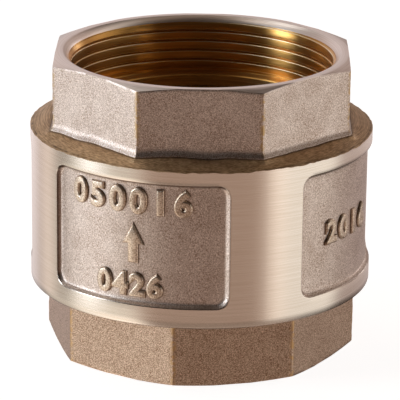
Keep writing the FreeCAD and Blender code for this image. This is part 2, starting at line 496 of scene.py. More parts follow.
def spun(corners: list[tuple[float, float]], steps: int, round_mm: float) -> bmesh.types.BMesh:
    """Solid of revolution of a closed section, with its edges broken.

    Args:
        corners: The section's (radius, level) corners in millimetres. Where the first and last lie on the
            axis, they close the solid's ends.
        steps: Steps of the full turn.
        round_mm: Size of the broken edges.

    Returns:
        The closed solid.
    """
    solid = bmesh.new()
    points = [solid.verts.new((radius, 0, level)) for radius, level in corners]
    on_axis = corners[0][0] == 0
    for first, second in zip(points, points[1:] if on_axis else points[1:] + points[:1]):
        solid.edges.new((first, second))
    bmesh.ops.bevel(
        solid, geom=points[1:-1] if on_axis else points, offset=round_mm, affect="VERTICES", segments=2,
        profile=0.5, material=-1, clamp_overlap=True,
    )
    bmesh.ops.spin(
        solid, geom=solid.verts[:] + solid.edges[:], cent=(0, 0, 0), axis=(0, 0, 1), angle=FULL_TURN, steps=steps,
        use_merge=True,
    )
    return solid


def finish_piece(
    name: str, solid: bmesh.types.BMesh, finishes: tuple[Finish, ...], body: str, nodes: tuple[str, ...],
    slot: str,
) -> bpy.types.Object:
    """Turn a bmesh in millimetres into a piece of the valve, closed and with its faces outward.

    Args:
        name: Name of the piece.
        solid: Its shape in millimetres; it is freed.
        finishes: Its finishes, in the order of the face numbers.
        body: The body that it rides on.
        nodes: The CAD nodes that it stands for.
        slot: Name of the record's material slot; not used.

    Returns:
        The new object, at the origin.
    """
    bmesh.ops.remove_doubles(solid, verts=solid.verts, dist=SAME_POINT)
    bmesh.ops.recalc_face_normals(solid, faces=solid.faces)
    if solid.calc_volume(signed=True) < 0:
        bmesh.ops.reverse_faces(solid, faces=solid.faces)
    bmesh.ops.scale(solid, vec=(MM, MM, MM), verts=solid.verts)
    mesh = bpy.data.meshes.new(name)
    solid.to_mesh(mesh)
    solid.free()
    mesh.shade_smooth()
    mesh.set_sharp_from_angle(angle=math.radians(SHARP_DEG))
    for finish in finishes:
        mesh.materials.append(finish.material())
    piece = bpy.data.objects.new(name, mesh)
    bpy.context.scene.collection.objects.link(piece)
    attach(piece, body)
    if nodes:
        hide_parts(*nodes)
    log.info("%s: %d faces on %s", name, len(mesh.polygons), body)
    return piece


def ripple(angle_deg: float, level: float, size_mm: float, seed: float) -> float:
    """Smooth unevenness between -1 and 1 over the surface, the same on each run."""
    place = around(33 / size_mm, angle_deg, level / size_mm + seed)
    return noise.noise(place)


@dataclass(frozen=True)
class OctagonOutline:
    """Outline of a forged octagon with rounded upright edges.

    Attributes:
        flats: Width across flats.
        corner_deg: Angle of one corner.
        edge_round: Radius of the upright edges.
    """

    flats: float
    corner_deg: float
    edge_round: float = 0.5

    def corners_deg(self) -> list[float]:
        """Angles of the eight corners."""
        return [self.corner_deg + 45 * number for number in range(8)]

    def from_corner(self, angle_deg: float) -> float:
        """Signed angle from the nearest corner, in degrees."""
        return (angle_deg - self.corner_deg + 22.5) % 45 - 22.5

    def radius(self, angle_deg: float) -> float:
        """Find how far the outline is from the axis.

        Args:
            angle_deg: The angle round the axis.

        Returns:
            The distance in millimetres.
        """
        offset = abs(math.radians(self.from_corner(angle_deg)))
        half = math.radians(22.5)
        centre = (self.flats / 2 - self.edge_round) / math.cos(half)
        reach = math.atan2(self.edge_round * math.sin(half), centre + self.edge_round * math.cos(half))
        if offset < reach:
            across = centre * math.sin(offset)
            return centre * math.cos(offset) + math.sqrt(self.edge_round ** 2 - across ** 2)
        return self.flats / 2 / math.cos(half - offset)

    def columns(self) -> list[float]:
        """Angles at which the rounded edges need columns."""
        offsets = (-1.4, -0.6, -0.31, -0.15, 0, 0.15, 0.31, 0.6, 1.4)
        return [corner + offset for corner in self.corners_deg() for offset in offsets]

    def chipped(self, angle_deg: float, level: float) -> float:
        """Find how far the outline is from the axis where small chips break its upright edges.

        Args:
            angle_deg: The angle round the axis.
            level: The level.

        Returns:
            The distance in millimetres.
        """
        offset = abs(self.from_corner(angle_deg))
        chip = 0.16 * max(0.15 + ripple(angle_deg - offset, level, 1.1, 2.9), 0.0)
        return self.radius(angle_deg) - chip * (1 - smooth_step(0.1, 1.2, offset))

    def wear(self, angle_deg: float, ragged: float) -> float:
        """Share of worn edge at an angle: 1 on the upright edge, gone half a millimetre away."""
        distance = abs(math.radians(self.from_corner(angle_deg))) * self.flats / 2
        return (0.95 + 0.4 * ragged) * (1 - smooth_step(0.15, 0.65 + 0.35 * ragged, distance))


@dataclass(frozen=True)
class PipeEnd:
    """Forged octagon with a faced, threaded mouth, as both ends of the valve have it.

    Attributes:
        octagon: Outline of its sides.
        seed: Start of its unevenness, so that the two ends differ.
        height: Height of the octagon.
        ring_radius: Outer radius of the faced ring round the mouth.
        corner_chamfer_deg: Slope of the turned chamfer on the corners.
        mouth_radius: Radius of the mouth's chamfer at the end face.
        thread_radius: Major radius of the thread.
        thread_depth: Depth of the bore that carries it.
    """

    octagon: OctagonOutline
    seed: float
    height: float = 15.2
    ring_radius: float = 32.9
    corner_chamfer_deg: float = 16.7
    mouth_radius: float = 31.1
    thread_radius: float = 29.8
    thread_depth: float = 13.0

    @property
    def mouth_chamfer(self) -> float:
        """Size of the mouth's chamfer, at 45 degrees."""
        return self.mouth_radius - self.thread_radius

    def corner_drop(self, radius: float) -> float:
        """How far the corner chamfer lies below the end face at a radius."""
        return max(radius - self.ring_radius, 0.0) * math.tan(math.radians(self.corner_chamfer_deg))

    def side(self, angle_deg: float, level: float) -> Vector:
        """Place on the octagon's side, slightly uneven and with chipped edges."""
        uneven = 0.035 * ripple(angle_deg, level, 6.0, self.seed)
        return around(self.octagon.chipped(angle_deg, level) + uneven, angle_deg, level)

    def corner(self, angle_deg: float, share: float) -> tuple[float, float]:
        """Place a vertex on the corner chamfer.

        Args:
            angle_deg: The angle round the axis.
            share: Where it lies, from 0 at the octagon's side to 1 at the faced ring.

        Returns:
            Its radius, and how far it lies below the end face.
        """
        edge = self.octagon.radius(angle_deg) - 0.06
        radius = mix(edge, min(edge, self.ring_radius), share)
        return radius, self.corner_drop(radius) + 0.03 * (1 - share)


@dataclass(frozen=True)
class PanelRecess:
    """Recessed panels round the belly, each a rounded rectangle on the unrolled surface.

    Attributes:
        centres_deg: Angles of the panels' centres.
        width_deg: Width of a panel as an angle.
        bottom: Level of a panel's lower edge.
        top: Level of its upper edge.
        depth: Depth of its floor.
        corner_radius: Radius of its corners.
        belly_radius: Radius of the surface that it is sunk in.
        wall_right: Width of its right wall, which the die's draft makes the widest.
        wall_left: Width of its left wall.
        wall_bottom: Width of its lower wall.
        wall_top: Width of its upper wall.
        insets: How far inside the outline its walls need rows and columns.
    """

    centres_deg: tuple[float, ...]
    width_deg: float
    bottom: float
    top: float
    depth: float
    corner_radius: float
    belly_radius: float
    wall_right: float = 1.15
    wall_left: float = 0.45
    wall_bottom: float = 0.75
    wall_top: float = 0.35
    insets: tuple[float, ...] = (-0.1, 0.02, 0.1, 0.2, 0.3, 0.42, 0.65, 0.9, 1.2, 1.5, 1.8, 2.1, 2.5, 3.0)

    def beyond(self, angle_deg: float, level: float) -> tuple[float, float]:
        """Find how far a place lies beyond the lines where the nearest panel's corners start to round.

        Args:
            angle_deg: The place's angle round the axis.
            level: Its level.

        Returns:
            How far beyond them sideways and endways.
        """
        across = abs(math.radians(to_nearest(angle_deg, list(self.centres_deg)))) * self.belly_radius
        along = abs(level - (self.bottom + self.top) / 2)
        sideways = across - math.radians(self.width_deg / 2) * self.belly_radius + self.corner_radius
        return sideways, along - (self.top - self.bottom) / 2 + self.corner_radius

    def inset(self, angle_deg: float, level: float) -> float:
        """Find how far inside the nearest panel's outline a place lies.

        Args:
            angle_deg: The place's angle round the axis.
            level: Its level.

        Returns:
            The distance in millimetres, negative outside the outline.
        """
        sideways, endways = self.beyond(angle_deg, level)
        corner = math.hypot(max(sideways, 0), max(endways, 0))
        return self.corner_radius - corner - min(max(sideways, endways), 0)

    def wall(self, angle_deg: float, level: float) -> float:
        """Find how wide the nearest panel's wall is beside a place, turning smoothly at its corners.

        Args:
            angle_deg: The place's angle round the axis.
            level: Its level.

        Returns:
            The width in millimetres.
        """
        sideways, endways = (max(part, 0.001) for part in self.beyond(angle_deg, level))
        corner = math.hypot(sideways, endways)
        on_right = to_nearest(angle_deg, list(self.centres_deg)) > 0
        below_middle = level < (self.bottom + self.top) / 2
        side_width = self.wall_right if on_right else self.wall_left
        end_width = self.wall_bottom if below_middle else self.wall_top
        return side_width * (sideways / corner) ** 2 + end_width * (endways / corner) ** 2

    def sunk(self, angle_deg: float, level: float) -> float:
        """Find how deep a place lies below the belly: down the wall, then a small fillet to the floor.

        Args:
            angle_deg: The place's angle round the axis.
            level: Its level.

        Returns:
            The depth in millimetres.
        """
        inset = self.inset(angle_deg, level)
        width = self.wall(angle_deg, level)
        return self.depth * mix(smooth_step(-0.03, width, inset), smooth_step(0.0, width + 0.8, inset), 0.15)

    def dirt(self, angle_deg: float, level: float) -> float:
        """Find how much painted shade lies along a panel's outline: most beside a steep wall, widest under the
        top.

        Args:
            angle_deg: The place's angle round the axis.
            level: Its level.

        Returns:
            The painted shade, from 0 to 1.
        """
        inset = self.inset(angle_deg, level)
        steep = 1 - smooth_step(0.45, 0.75, self.wall(angle_deg, level))
        reach = 0.50 if level > self.top - 1.2 else 0.10
        fade = 1 - smooth_step(reach, reach + 0.28, inset)
        return mix(0.3, 0.9, steep) * smooth_step(-0.06, 0.06, inset) * fade

    def columns(self) -> list[float]:
        """List the angles at which the sides and corners need columns.

        Returns:
            The angles in degrees, panel by panel.
        """
        angles = []
        for centre in self.centres_deg:
            for inside in self.insets:
                offset = self.width_deg / 2 - math.degrees(inside / self.belly_radius)
                angles += [centre - offset, centre + offset]
        return angles

    def levels(self) -> list[float]:
        """Levels at which the ends and corners need rows."""
        return [self.bottom + inside for inside in self.insets] + [self.top - inside for inside in self.insets]


@dataclass
class BodyForging:
    """Body forging: belly with recessed panels, forged shoulder, outlet octagon and bores.

    Attributes:
        outlet: The octagon and threaded mouth at the top.
        shoulder_rise: How far the shoulder rises from the belly's rim to the octagon's foot.
        shoulder_crown: Power of the shoulder's curve, steeper at the rim when higher.
        lip_flare: How far the lip at the octagon's foot stands out.
        lip_height: Height over which the lip runs out into the octagon's sides.
        edge_break: Radius of the belly's lower edge.
        throat_radius: Radius of the opening between the thread's bore and the chamber.
        throat_length: Length of that opening.
        chamber_radius: Radius of the chamber that the plate moves in.
        cap_bore_radius: Radius of the bore that takes the cap.
        cap_bore_top: Level of that bore's end.
        cap_face_radius: Radius of the faced ring round it.
        hub_radius: Radius of the spindle guide's hub.
        hub_height: Height of the hub.
        hub_below_ledge: How far the hub's top lies below the end of the thread's bore.
        nose_radius: Radius of the hub's nose, which centres the spring.
        nose_length: Length of the nose.
        stem_bore_radius: Radius of the bore that guides the spindle.
        arm_width: Width of the four arms.
        arm_height: Height of the arms.
        belly_radius: Radius of the belly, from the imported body.
        bottom: Level of the lower face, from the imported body.
        end: Level of the end face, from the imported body.
        panels: The recessed panels.
    """

    outlet: PipeEnd = PipeEnd(OctagonOutline(65.4, 22.5), seed=2.6)
    shoulder_rise: float = 1.7
    shoulder_crown: float = 1.7
    lip_flare: float = 0.62
    lip_height: float = 1.2
    edge_break: float = 0.45
    throat_radius: float = 26.5
    throat_length: float = 3.0
    chamber_radius: float = 31.0
    cap_bore_radius: float = 32.05
    cap_bore_top: float = 27.8
    cap_face_radius: float = 34.0
    hub_radius: float = 8.6
    hub_height: float = 4.3
    hub_below_ledge: float = 0.2
    nose_radius: float = 5.9
    nose_length: float = 5.5
    stem_bore_radius: float = 4.05
    arm_width: float = 3.6
    arm_height: float = 5.4
    belly_radius: float = field(init=False)
    bottom: float = field(init=False)
    end: float = field(init=False)
    panels: PanelRecess = field(init=False)

    def __post_init__(self) -> None:
        """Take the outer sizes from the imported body."""
        low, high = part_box("body")
        self.belly_radius = high.x / MM
        self.bottom = low.z / MM
        self.end = high.z / MM
        self.panels = PanelRecess(
            centres_deg=(-112.0, -22.0, 68.0, 158.0),
            width_deg=64.8,
            bottom=self.bottom + 4.5,
            top=self.belly_top - 2.9,
            depth=1.0,
            corner_radius=3.0,
            belly_radius=self.belly_radius,
        )

    @property
    def octagon_base(self) -> float:
        """Level at which the octagon stands on the shoulder."""
        return self.end - self.outlet.height

    @property
    def belly_top(self) -> float:
        """Level of the belly's upper rim."""
        return self.octagon_base - self.shoulder_rise

    @property
    def ledge(self) -> float:
        """Level at which the thread's bore ends."""
        return self.end - self.outlet.thread_depth

    def belly_rows(self) -> list[Row]:
        """Section of the lower face and the belly, from the cap's bore up.

        Returns:
            The rows.
        """
        rows = turned_rows([(self.cap_bore_radius, self.bottom), (self.cap_face_radius, self.bottom)], FACED_END)
        rows += turned_rows([(self.belly_radius - self.edge_break - 0.1, self.bottom)], TURNED_BELLY)
        for share in (0.12, 0.35, 0.65, 0.9):
            turn = share * math.pi / 2
            radius = self.belly_radius - self.edge_break * (1 - math.sin(turn))
            rows += turned_rows([(radius, self.bottom + self.edge_break * (1 - math.cos(turn)))], TURNED_BELLY)
        levels = self.panels.levels()
        levels += levels_between(self.bottom + self.edge_break, self.panels.bottom - 0.3, 1.2)
        levels += levels_between(self.panels.bottom + 3.0, self.panels.top - 3.0, 1.0)
        levels += levels_between(self.panels.top + 0.1, self.belly_top, 0.7)
        return rows + [Row(Zone.BELLY, level, 0, TURNED_BELLY) for level in sorted(levels)]

    def shoulder_rows(self) -> list[Row]:
        """Section of the belly's upper rim, the shoulder and the lip at the octagon's foot.

        Returns:
            The rows.
        """
        rows = [Row(Zone.RIM, 0.0, -0.12, TURNED_BELLY)]
        rows += [Row(Zone.RIM, 0.0, 0.0, FORGED_SKIN), Row(Zone.RIM, 0.12, 0.06, FORGED_SKIN)]
        shares = (0.06, 0.14, 0.25, 0.4, 0.55, 0.7, 0.85, 0.95)
        rows += [Row(Zone.SHOULDER, share, 0, FORGED_SKIN) for share in shares]
        rows += [Row(Zone.LIP, 1.0, -0.22, FORGED_SKIN)]
        lip = ((0.96, -0.12), (1.0, -0.02), (0.90, 0.12), (0.70, 0.32), (0.46, 0.58), (0.24, 0.88), (0.08, 1.2))
        return rows + [Row(Zone.LIP, share, height, BLASTED_FORGING) for share, height in lip]

    def outlet_rows(self) -> list[Row]:
        """Section of the octagon, its faced end and the thread's bore, up and then down to the ledge.

        Returns:
            The rows.
        """
        mouth = self.outlet.mouth_radius
        wall = self.outlet.thread_radius
        chamfer_foot = self.end - self.outlet.mouth_chamfer
        rows = [Row(Zone.FACE, number / 24, 0, BLASTED_FORGING) for number in range(1, 24)]
        rows += [Row(Zone.FACE, 1.0, 0, FACED_END)]
        rows += [Row(Zone.CHAMFER, share, 0, FACED_END) for share in (0.0, 0.06, 0.5, 1.0)]
        rows += turned_rows([
            (32.5, self.end),
            (31.9, self.end),
            (mouth + 0.08, self.end),
            (mouth - 0.04, self.end - 0.04),
        ], FACED_END)
        return rows + turned_rows([
            (wall + 0.06, chamfer_foot + 0.04),
            (wall, chamfer_foot - 0.08),
            (wall, self.ledge + 5),
            (wall, self.ledge + 0.15),
            (wall - 0.15, self.ledge),
            (self.throat_radius + 1.5, self.ledge),
            (self.throat_radius + 0.25, self.ledge),
        ], CUT_THREAD_PAINTED_BOUNCE)

    def chamber_rows(self) -> list[Row]:
        """Section of the throat, the chamber and the cap's bore, downward.

        Returns:
            The rows.
        """
        throat_bottom = self.ledge - self.throat_length
        return turned_rows([
            (self.throat_radius, self.ledge - 0.25),
            (self.throat_radius, throat_bottom + 0.3),
            (self.throat_radius + 0.3, throat_bottom),
            (self.chamber_radius - 0.6, throat_bottom),
            (self.chamber_radius, throat_bottom - 0.6),
            (self.chamber_radius, mix(self.cap_bore_top, throat_bottom, 0.5)),
            (self.chamber_radius, self.cap_bore_top),
            (self.cap_bore_radius, self.cap_bore_top),
            (self.cap_bore_radius, mix(self.bottom, self.cap_bore_top, 0.5)),
        ], BORED_INSIDE)

    def rows(self) -> list[Row]:
        """Section of the forging, up the outside and down through the bores."""
        return self.belly_rows() + self.shoulder_rows() + self.outlet_rows() + self.chamber_rows()

    def crown(self, radius: float) -> float:
        """Level of the shoulder at a radius: steep at the rim, almost flat beside the octagon."""
        share = (self.belly_radius - radius) / (self.belly_radius - self.outlet.octagon.flats / 2)
        return self.belly_top + self.shoulder_rise * (1 - (1 - min(share, 1.0)) ** self.shoulder_crown)

    def lip_level(self, angle_deg: float) -> float:
        """Wavy level of the flared lip at the octagon's foot."""
        wave = 0.42 * ripple(angle_deg, 0, 7.0, 3.1)
        return self.octagon_base + 0.1 + wave + 0.12 * ripple(angle_deg, 0, 2.2, 9.4)

    def shoulder(self, angle_deg: float, share: float) -> Vector:
        """Place a vertex on the shoulder.

        Args:
            angle_deg: The angle round the axis.
            share: Where it lies, from 0 at the rim to 1 at the lip.

        Returns:
            Its place in millimetres.
        """
        foot = self.outlet.octagon.radius(angle_deg) + self.lip_flare + 0.1
        radius = mix(self.belly_radius - 0.12, foot, share)
        level = mix(self.crown(radius), self.lip_level(angle_deg) - 0.22, smooth_step(0.55, 1.0, share))
        fade = min(share, 1 - share) * 4
        uneven = 0.10 * ripple(angle_deg, share * 9, 6.0, 1.7) * min(fade, 1.0)
        return around(radius, angle_deg, level + uneven)

    def place(self, row: Row, angle_deg: float) -> Vector:
        """Place a vertex of the skin.

        Args:
            row: Its row.
            angle_deg: The angle of its column.

        Returns:
            Its place in millimetres.
        """
        octagon = self.outlet.octagon
        if row.zone is Zone.BELLY:
            return around(self.belly_radius - self.panels.sunk(angle_deg, row.first), angle_deg, row.first)
        if row.zone is Zone.RIM:
            ragged = 0.24 * ripple(angle_deg, 0, 1.2, 5.3) + 0.14 * ripple(angle_deg, 0, 5.0, 8.2)
            return around(self.belly_radius - row.first, angle_deg, self.belly_top + ragged + row.second - 0.05)
        if row.zone is Zone.SHOULDER:
            return self.shoulder(angle_deg, row.first)
        if row.zone is Zone.LIP:
            radius = octagon.radius(angle_deg) + self.lip_flare * row.first
            return around(radius, angle_deg, self.lip_level(angle_deg) + row.second)
        if row.zone is Zone.FACE:
            foot = self.lip_level(angle_deg) + self.lip_height
            head = self.end - self.outlet.corner_drop(octagon.radius(angle_deg)) - 0.10
            return self.outlet.side(angle_deg, mix(foot, head, row.first))
        if row.zone is Zone.CHAMFER:
            radius, drop = self.outlet.corner(angle_deg, row.first)
            return around(radius, angle_deg, self.end - drop)
        return around(row.first, angle_deg, row.second)

    def marks(self, row: Row, angle_deg: float) -> dict:
        """Find the wear on edges, and the painted shade in creases, under the lip and along the panels.

        Args:
            row: The vertex's row.
            angle_deg: The angle of its column.

        Returns:
            The values of the wear and of the painted shade.
        """
        wear = 0.0
        dirt = 0.0
        if row.zone is Zone.FACE:
            wear = self.outlet.octagon.wear(angle_deg, ripple(angle_deg, row.first * 15, 1.3, 4.4))
        if row.zone is Zone.LIP:
            wear = 0.5 * self.outlet.octagon.wear(angle_deg, 0.0)
            # Painted shade on the lip's lower part and in the shadow gap under it
            under_lip = 1 - smooth_step(-0.16, -0.02, row.second)
            dirt = 0.3 * (1 - smooth_step(0.5, 1.2, row.second)) + 0.5 * under_lip
        if row.zone is Zone.SHOULDER:
            # Painted shade in the creases at the belly's rim and at the octagon's foot
            at_rim = smooth_step(0.16, 0.02, row.first) * (0.55 + 0.9 * ripple(angle_deg, 0, 1.1, 6.6))
            dirt = max(smooth_step(0.85, 1.0, row.first) * 0.4, at_rim)
        # Painted shade along the panels' outlines
        if row.zone is Zone.BELLY:
            dirt = self.panels.dirt(angle_deg, row.first)
        return {"wear": wear, "dirt": dirt}

    def finish_panels(self, skin: bmesh.types.BMesh) -> None:
        """Give the sunk faces of the belly the blasted finish.

        Args:
            skin: The placed skin.
        """
        for face in skin.faces:
            if BODY_FINISHES[face.material_index] is TURNED_BELLY:
                centre = face.calc_center_median()
                angle = math.degrees(math.atan2(centre.y, centre.x))
                if self.panels.inset(angle, centre.z) > 0.06:
                    face.material_index = BODY_FINISHES.index(BLASTED_FORGING)

    def build(self) -> None:
        """Make the forging's skin and its spindle guide."""
        angles = column_angles(1.0, self.outlet.octagon.columns() + self.panels.columns())
        skin = lathe_skin(self.rows(), angles, BODY_FINISHES, self.place, self.marks)
        self.finish_panels(skin)
        finish_piece("body_forging", skin, BODY_FINISHES, "housing", ("body",), "forged_brass")
        finish_piece("body_spindle_guide", self.guide(), (BORED_INSIDE,), "housing", ("body",), "forged_brass")

    def guide(self) -> bmesh.types.BMesh:
        """Make the hub on four arms that carries the spindle.

        Returns:
            Its solids in millimetres.
        """
        hub_top = self.ledge - self.hub_below_ledge
        hub_bottom = hub_top - self.hub_height
        nose_bottom = hub_bottom - self.nose_length
        guide = spun([
            (self.stem_bore_radius, nose_bottom),
            (self.nose_radius, nose_bottom),
            (self.nose_radius, hub_bottom),
            (self.hub_radius, hub_bottom),
            (self.hub_radius, hub_top),
            (self.stem_bore_radius, hub_top),
        ], COARSE_STEPS, 0.6)
        # Each arm runs from inside the hub to inside the chamber's wall
        inner = self.hub_radius - 0.5
        outer = self.chamber_radius + 0.3
        for number in range(4):
            arm = bmesh.ops.create_cube(guide, size=1.0)["verts"]
            bmesh.ops.scale(guide, vec=(outer - inner, self.arm_width, self.arm_height), verts=arm)
            bmesh.ops.translate(guide, vec=((outer + inner) / 2, 0, hub_top - self.arm_height / 2), verts=arm)
            long_edges = [
                edge for edge in {edge for vertex in arm for edge in vertex.link_edges}
                if abs(edge.verts[0].co.x - edge.verts[1].co.x) > 1
            ]
            rounded = bmesh.ops.bevel(
                guide, geom=long_edges, offset=1.0, affect="EDGES", segments=4, profile=0.5, material=-1,
            )
            turn = Matrix.Rotation(math.radians(45 + 90 * number), 3, "Z")
            bmesh.ops.rotate(guide, verts=list(set(rounded["verts"])), cent=(0, 0, 0), matrix=turn)
        return guide


@dataclass
class EndCap:
    """Inlet forging: octagon, bore, screwed spigot and valve seat, with its end face at level 0.

    Attributes:
        inlet: The octagon and threaded mouth at the bottom.
        seat_bore_radius: Radius of the waterway through the seat.
        lip_radius: Radius of the raised seat lip.
        lip_height: Height of that lip.
        spigot_radius: Radius of the spigot that is screwed into the body.
        spigot_length: Length of the spigot.
    """

    inlet: PipeEnd = PipeEnd(OctagonOutline(65.4, -8.6), seed=7.6)
    seat_bore_radius: float = 21.0
    lip_radius: float = 22.4
    lip_height: float = 1.2
    spigot_radius: float = 32.0
    spigot_length: float = 11.0

    def rows(self) -> list[Row]:
        """Section of the cap, up the outside and down through the bores.

        Returns:
            The rows.
        """
        mouth = self.inlet.mouth_radius
        wall = self.inlet.thread_radius
        chamfer = self.inlet.mouth_chamfer
        ledge = self.inlet.thread_depth
        shoulder = self.inlet.height
        cap_end = shoulder + self.spigot_length
        seat = cap_end + self.lip_height
        rows = turned_rows([(mouth - 0.04, 0.04), (mouth + 0.08, 0), (32.0, 0), (32.5, 0)], FACED_END)
        rows += [Row(Zone.CHAMFER, share, 0, FACED_END) for share in (1.0, 0.5, 0.06, 0.0)]
        rows += [Row(Zone.FACE, number / 26, 0, BLASTED_CAP_PAINTED_SHADE) for number in range(27)]
        rows += turned_rows([
            (32.4, shoulder),
            (self.spigot_radius, shoulder + 0.1),
            (self.spigot_radius, mix(shoulder, cap_end, 0.5)),
            (self.spigot_radius, cap_end - 0.4),
            (self.spigot_radius - 0.4, cap_end),
            (self.lip_radius + 1.0, cap_end),
            (self.lip_radius + 0.6, cap_end + 0.1),
            (self.lip_radius + 0.1, seat - 0.1),
            (self.lip_radius - 0.1, seat),
            (self.seat_bore_radius + 0.2, seat),
            (self.seat_bore_radius, seat - 0.2),
            (self.seat_bore_radius, mix(ledge, seat, 0.5)),
            (self.seat_bore_radius, ledge + 0.4),
            (self.seat_bore_radius + 0.4, ledge),
        ], BORED_INSIDE)
        return rows + turned_rows([
            (wall - 0.15, ledge),
            (wall, ledge - 0.15),
            (wall, 6.0),
            (wall, chamfer + 0.08),
            (wall + 0.06, chamfer - 0.04),
        ], CUT_THREAD_PAINTED_BOUNCE)

    def place(self, row: Row, angle_deg: float) -> Vector:
        """Place a vertex of the skin.

        Args:
            row: Its row.
            angle_deg: The angle of its column.

        Returns:
            Its place in millimetres.
        """
        if row.zone is Zone.FACE:
            foot = self.inlet.corner_drop(self.inlet.octagon.radius(angle_deg)) + 0.10
            return self.inlet.side(angle_deg, mix(foot, self.inlet.height, row.first))
        if row.zone is Zone.CHAMFER:
            radius, rise = self.inlet.corner(angle_deg, row.first)
            return around(radius, angle_deg, rise)
        return around(row.first, angle_deg, row.second)

    def marks(self, row: Row, angle_deg: float) -> dict:
        """Find the wear on the upright edges.

        Args:
            row: The vertex's row.
            angle_deg: The angle of its column.

        Returns:
            The values of the wear and of the painted shade, which the cap has nowhere.
        """
        ragged = ripple(angle_deg, row.first * 15, 1.3, 6.4)
        wear = self.inlet.octagon.wear(angle_deg, ragged) if row.zone is Zone.FACE else 0.0
        return {"wear": wear, "dirt": 0.0}

    def build(self) -> None:
        """Make the cap's skin."""
        angles = column_angles(1.0, self.inlet.octagon.columns())
        skin = lathe_skin(self.rows(), angles, CAP_FINISHES, self.place, self.marks)
        finish_piece("end_cap_forging", skin, CAP_FINISHES, "housing", ("end_cap",), "cap_brass")


@dataclass
class PipeThread:
    """Female parallel pipe thread, 11 turns to the inch, as ridges on the wall of a bore.

    Attributes:
        name: Name of the piece.
        slot: The record's material slot.
        mouth: The end of the valve that it is cut in.
        end: Level of the mouth.
        inward: -1 where the bore runs down from its mouth, 1 where it runs up.
        length: Length of bore that is threaded, from the mouth.
        pitch: Distance from turn to turn.
        crest_height: Height of the crests over the wall.
        flank_deg: Slope of the flanks.
        steps_per_turn: Steps of the helix.
    """

    name: str
    slot: str
    mouth: PipeEnd
    end: float
    inward: int
    length: float = 11.9
    pitch: float = 25.4 / 11
    crest_height: float = 0.52
    flank_deg: float = 27.5
    steps_per_turn: int = 120

    def section(self) -> list[tuple[float, float]]:
        """Shape one ridge: flat-topped, rooted in the wall, with rounded corners on its crest.

        Returns:
            Each corner's reach inward from the wall and its place along the axis.
        """
        foot = self.pitch / 2 - 0.03
        shoulder = self.crest_height - 0.08
        shoulder_along = foot - shoulder * math.tan(math.radians(self.flank_deg))
        side = [
            (-0.15, foot),
            (0.02, foot),
            (shoulder, shoulder_along),
            (self.crest_height - 0.02, shoulder_along - 0.07),
            (self.crest_height, shoulder_along - 0.17),
        ]
        return side + [(reach, -along) for reach, along in reversed(side)]

    def on_crest_corner(self, face: bmesh.types.BMFace) -> bool:
        """Whether a face lies on a rounded corner of the crest."""
        reaches = [self.mouth.thread_radius - math.hypot(vertex.co.x, vertex.co.y) for vertex in face.verts]
        return min(reaches) > self.crest_height - 0.1 and max(reaches) - min(reaches) > 0.01

    def build(self) -> None:
        """Spin the ridge along its helix and trim it to the mouth chamfer."""
        wall = self.mouth.thread_radius
        turns = (self.length - 0.5) / self.pitch
        start = self.end + self.inward * self.length
        ridge = bmesh.new()
        points = [ridge.verts.new((wall - reach, 0, start + along)) for reach, along in self.section()]
        edges = [ridge.edges.new((first, second)) for first, second in zip(points, points[1:] + points[:1])]
        bmesh.ops.spin(
            ridge, geom=points + edges, cent=(0, 0, 0), axis=(0, 0, -self.inward), angle=FULL_TURN * turns,
            steps=round(turns * self.steps_per_turn), dvec=(0, 0, -self.inward * self.pitch / self.steps_per_turn),
        )
        bmesh.ops.holes_fill(ridge, edges=[edge for edge in ridge.edges if edge.is_boundary])
        finishes = (CUT_THREAD_PAINTED_BOUNCE, CREST_PAINTED_HIGHLIGHT)
        # Painted highlight: the crests' rounded corners take the brighter colour
        for face in ridge.faces:
            if self.on_crest_corner(face):
                face.material_index = finishes.index(CREST_PAINTED_HIGHLIGHT)
        for vertex in ridge.verts:
            self.trim(vertex)
        finish_piece(self.name, ridge, finishes, "housing", (), self.slot)

    def trim(self, vertex: bmesh.types.BMVert) -> None:
        """Keep a vertex under the mouth chamfer, and sink the ridge into the wall where it starts.

        Args:
            vertex: A vertex of the ridge.
        """
        from_mouth = max((vertex.co.z - self.end) * self.inward, 0.05)
        vertex.co.z = self.end + self.inward * from_mouth
        radius = math.hypot(vertex.co.x, vertex.co.y)
        reach = self.mouth.thread_radius - radius
        run_out = smooth_step(self.length + 0.6, self.length - 0.6, from_mouth)
        wanted = self.mouth.thread_radius - (reach * run_out if reach > 0 else reach)
        wanted = max(wanted, self.mouth.mouth_radius - from_mouth + 0.06)
        vertex.co.x *= wanted / radius
        vertex.co.y *= wanted / radius


@dataclass(frozen=True)
class Numbers:
    """One row of plain raised numbers, which stand for nothing.

    Attributes:
        name: Name of the piece.
        digits: The numbers.
        middle_deg: The angle of their middle.
        base: The level of their foot.
        size: Their type size.
        spread: How far apart they stand, where 1 is normal.
    """

    name: str
    digits: str
    middle_deg: float
    base: float
    size: float
    spread: float


NUMBERS = (
    Numbers("size_numbers_upper", "050016", -114.0, 40.8, 7.3, 1.36),
    Numbers("size_numbers_lower", "0426", -113.5, 21.9, 6.6, 1.2),
    Numbers("size_numbers_right", "2016", -29.5, 31.0, 6.8, 1.35),
)


